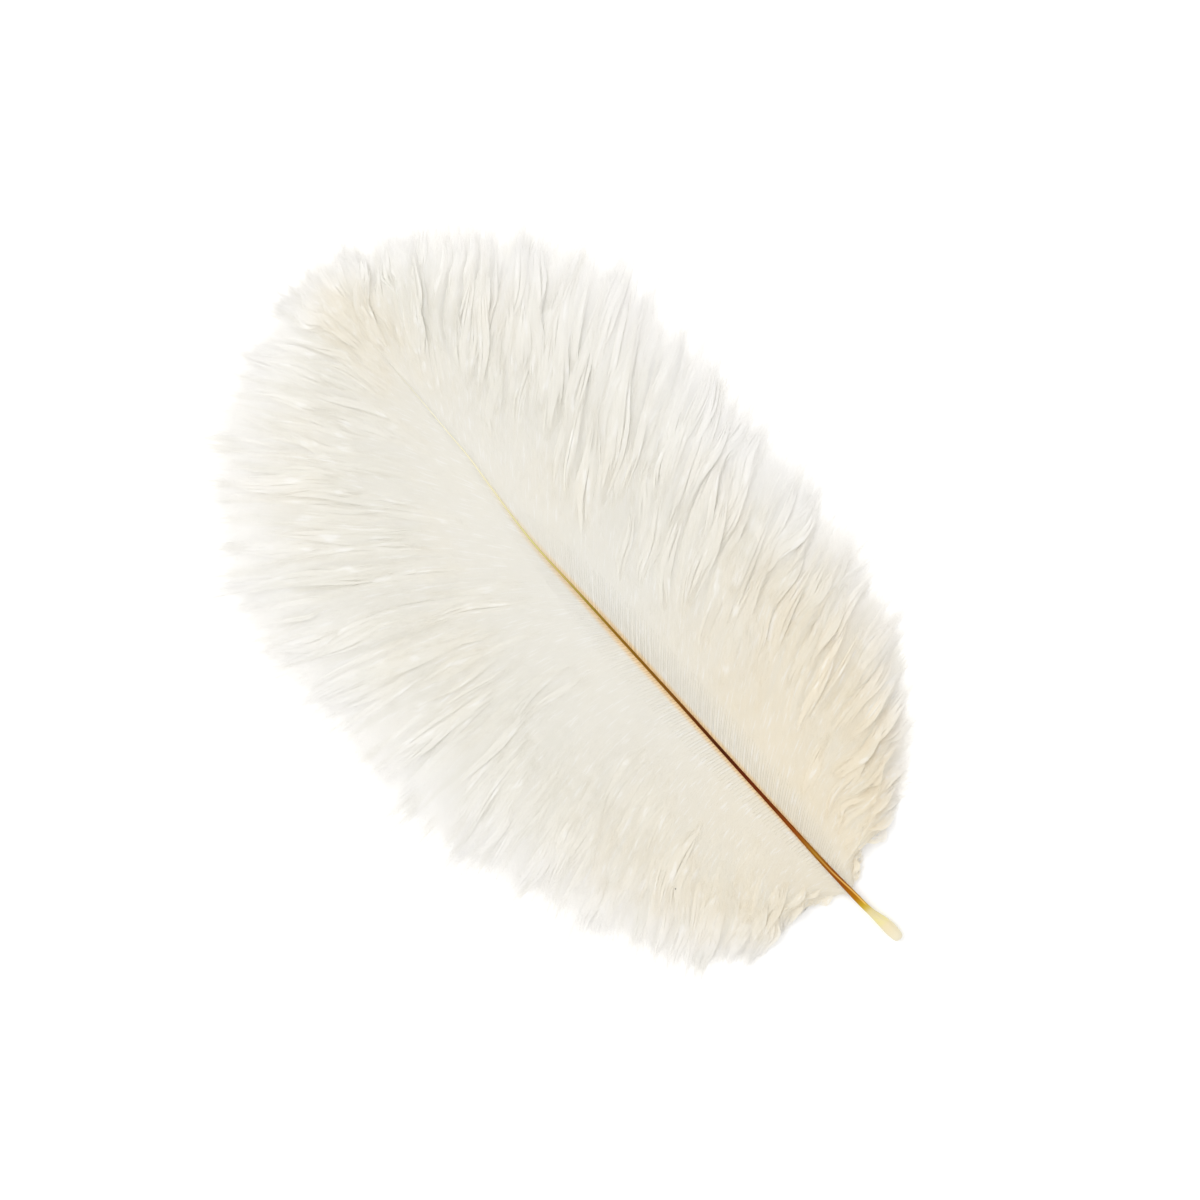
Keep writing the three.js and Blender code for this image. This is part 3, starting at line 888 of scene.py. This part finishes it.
class PLUME_OT_shaft(bpy.types.Operator):
    """Quill and shaft: one round rod, drawn out ring by ring along its line"""
    bl_idname = "plume.shaft"
    bl_label = "Quill and shaft"

    def execute(self, context):
        sizes = context.scene.plume_sizes
        rings = np.concatenate([[0.0, 0.12, 0.3, 0.6, 1.0, 1.5, 2.1, 2.8],
                                np.arange(3.6, 12, 0.8), np.arange(12.2, 137.1, 1.8)])
        centres = shaft_at(rings)
        radii = shaft_radius(rings)
        radii[:5] = [0.42, 0.66, 0.83, 0.95, 1.03]
        points = to_frame(centres)
        bpy.ops.object.select_all(action="DESELECT")
        bpy.ops.mesh.primitive_circle_add(
            vertices=sizes.shaft_sides, radius=radii[0] * MM, fill_type="NGON",
            location=points[0], rotation=(math.pi / 2, 0, 0))
        rod = context.object
        rod.name = rod.data.name = "shaft"
        bpy.ops.object.transform_apply(location=True, rotation=True, scale=True)
        bpy.ops.object.mode_set(mode="EDIT")
        bpy.ops.mesh.select_all(action="SELECT")
        for k in range(1, len(points)):
            step = Vector(points[k] - points[k - 1])
            bpy.ops.mesh.extrude_region_move(TRANSFORM_OT_translate={"value": step})
            grow = radii[k] / radii[k - 1]
            bpy.ops.transform.resize(value=(grow, grow, grow))
        bpy.ops.mesh.select_all(action="SELECT")
        bpy.ops.mesh.normals_make_consistent(inside=False)
        bpy.ops.object.mode_set(mode="OBJECT")
        bpy.ops.object.shade_smooth()
        self.map_horn(rod, sizes)
        rod.data.materials.append(horn_finish())
        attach(rod, "root")
        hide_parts("feather")
        return {"FINISHED"}

    def map_horn(self, rod, sizes):
        """A map with the way round across and the way along upwards."""
        mesh = rod.data
        layer = mesh.uv_layers.active or mesh.uv_layers.new(name="OFBake")
        layer.name = "OFBake"
        for polygon in mesh.polygons:
            turns = []
            for loop in polygon.loop_indices:
                corner = mesh.vertices[mesh.loops[loop].vertex_index].co
                y = (corner.y - PLUME_LOW[1]) / MM
                centre = shaft_at(y)
                x = (corner.x - sizes.quill_x) / MM - centre[0]
                turn = math.atan2(x, corner.z / MM - centre[2]) / (2 * math.pi) + 0.5
                turns.append((loop, turn, y / SHAFT_LENGTH))
            widest = max(t for _, t, _ in turns)
            for loop, turn, up in turns:
                if widest - turn > 0.5:
                    turn += 1
                layer.data[loop].uv = (turn * 0.9 + 0.02, min(max(up, 0.001), 0.999))


class PLUME_OT_left_vane(bpy.types.Operator):
    """Barbs of the left vane, in three pieces from the quill to the tip"""
    bl_idname = "plume.left_vane"
    bl_label = "Left vane"

    def execute(self, context):
        vane = Vane("left", context.scene.plume_sizes.seed)
        for seed, (name, low, high) in enumerate(LEFT_PIECES):
            build_piece(name, vane, low, high, seed)
        return {"FINISHED"}


class PLUME_OT_right_vane(bpy.types.Operator):
    """Barbs of the right vane, in three pieces from the quill to the tip"""
    bl_idname = "plume.right_vane"
    bl_label = "Right vane"

    def execute(self, context):
        vane = Vane("right", context.scene.plume_sizes.seed + 1)
        for seed, (name, low, high) in enumerate(RIGHT_PIECES, 10):
            build_piece(name, vane, low, high, seed)
        return {"FINISHED"}


class PLUME_OT_tip_tuft(bpy.types.Operator):
    """The last barbs past the shaft's end, between the two vanes"""
    bl_idname = "plume.tip_tuft"
    bl_label = "Tip tuft"

    def execute(self, context):
        vane = Vane("tip", context.scene.plume_sizes.seed + 2)
        build_piece("tip_barbs", vane, 0, 140, 20)
        return {"FINISHED"}


class PLUME_OT_stage(bpy.types.Operator):
    """Pale table, soft light and the camera over the plume"""
    bl_idname = "plume.stage"
    bl_label = "Stage"

    def execute(self, context):
        settings = context.scene.plume_stage
        bpy.ops.object.select_all(action="DESELECT")
        bpy.ops.mesh.primitive_plane_add(size=6, location=(0, 0, 0))
        table = context.object
        table.name = table.data.name = "table"
        table.data.materials.append(table_finish())

        world = bpy.data.worlds.new("soft_sky")
        world.use_nodes = True
        sky = world.node_tree.nodes["Background"]
        sky.inputs["Color"].default_value = (1, 1, 1, 1)
        sky.inputs["Strength"].default_value = settings.sky
        context.scene.world = world

        bpy.ops.object.light_add(type="AREA", location=(-0.28, 0.62, 0.9))
        lamp = context.object
        lamp.name = "softbox"
        lamp.data.energy = settings.softbox
        lamp.data.shape = "DISK"
        lamp.data.size = 0.9
        lamp.rotation_euler = (-lamp.location).to_track_quat("-Z", "Y").to_euler()

        camera_data = bpy.data.cameras.new("camera")
        camera = bpy.data.objects.new("camera", camera_data)
        context.collection.objects.link(camera)
        camera_data.lens = 100
        camera_data.sensor_width = 36
        camera.location = (4.76 * MM, 1.14 * MM, settings.camera_height)
        camera.rotation_euler = (0, 0, settings.camera_turn)
        camera_data.clip_start = 0.01
        context.scene.camera = camera
        context.scene.view_settings.view_transform = "Standard"
        context.scene.cycles.max_bounces = 16
        context.scene.cycles.diffuse_bounces = 12
        context.scene.cycles.transmission_bounces = 12
        return {"FINISHED"}


class PLUME_PT_panel(bpy.types.Panel):
    """Buttons that build the plume"""
    bl_idname = "PLUME_PT_panel"
    bl_label = "Ostrich plume"
    bl_space_type = "VIEW_3D"
    bl_region_type = "UI"
    bl_category = "Plume"

    def draw(self, context):
        for group in ("plume_sizes", "plume_colours", "plume_stage"):
            settings = getattr(context.scene, group)
            for name in settings.__annotations__:
                self.layout.prop(settings, name)
        for step in STEPS:
            self.layout.operator(step)


STEPS = ("plume.shaft", "plume.left_vane", "plume.right_vane", "plume.tip_tuft", "plume.stage")
CLASSES = (PlumeSizes, PlumeColours, StageSizes, PLUME_OT_shaft, PLUME_OT_left_vane,
           PLUME_OT_right_vane, PLUME_OT_tip_tuft, PLUME_OT_stage, PLUME_PT_panel)


def register():
    for kind in CLASSES:
        bpy.utils.register_class(kind)
    bpy.types.Scene.plume_sizes = bpy.props.PointerProperty(type=PlumeSizes)
    bpy.types.Scene.plume_colours = bpy.props.PointerProperty(type=PlumeColours)
    bpy.types.Scene.plume_stage = bpy.props.PointerProperty(type=StageSizes)


def unregister():
    for name in ("plume_sizes", "plume_colours", "plume_stage"):
        delattr(bpy.types.Scene, name)
    for kind in reversed(CLASSES):
        bpy.utils.unregister_class(kind)


def main():
    register()
    bpy.ops.plume.shaft()
    bpy.ops.plume.left_vane()
    bpy.ops.plume.right_vane()
    bpy.ops.plume.tip_tuft()
    bpy.ops.plume.stage()


if __name__ == "__main__":
    main()
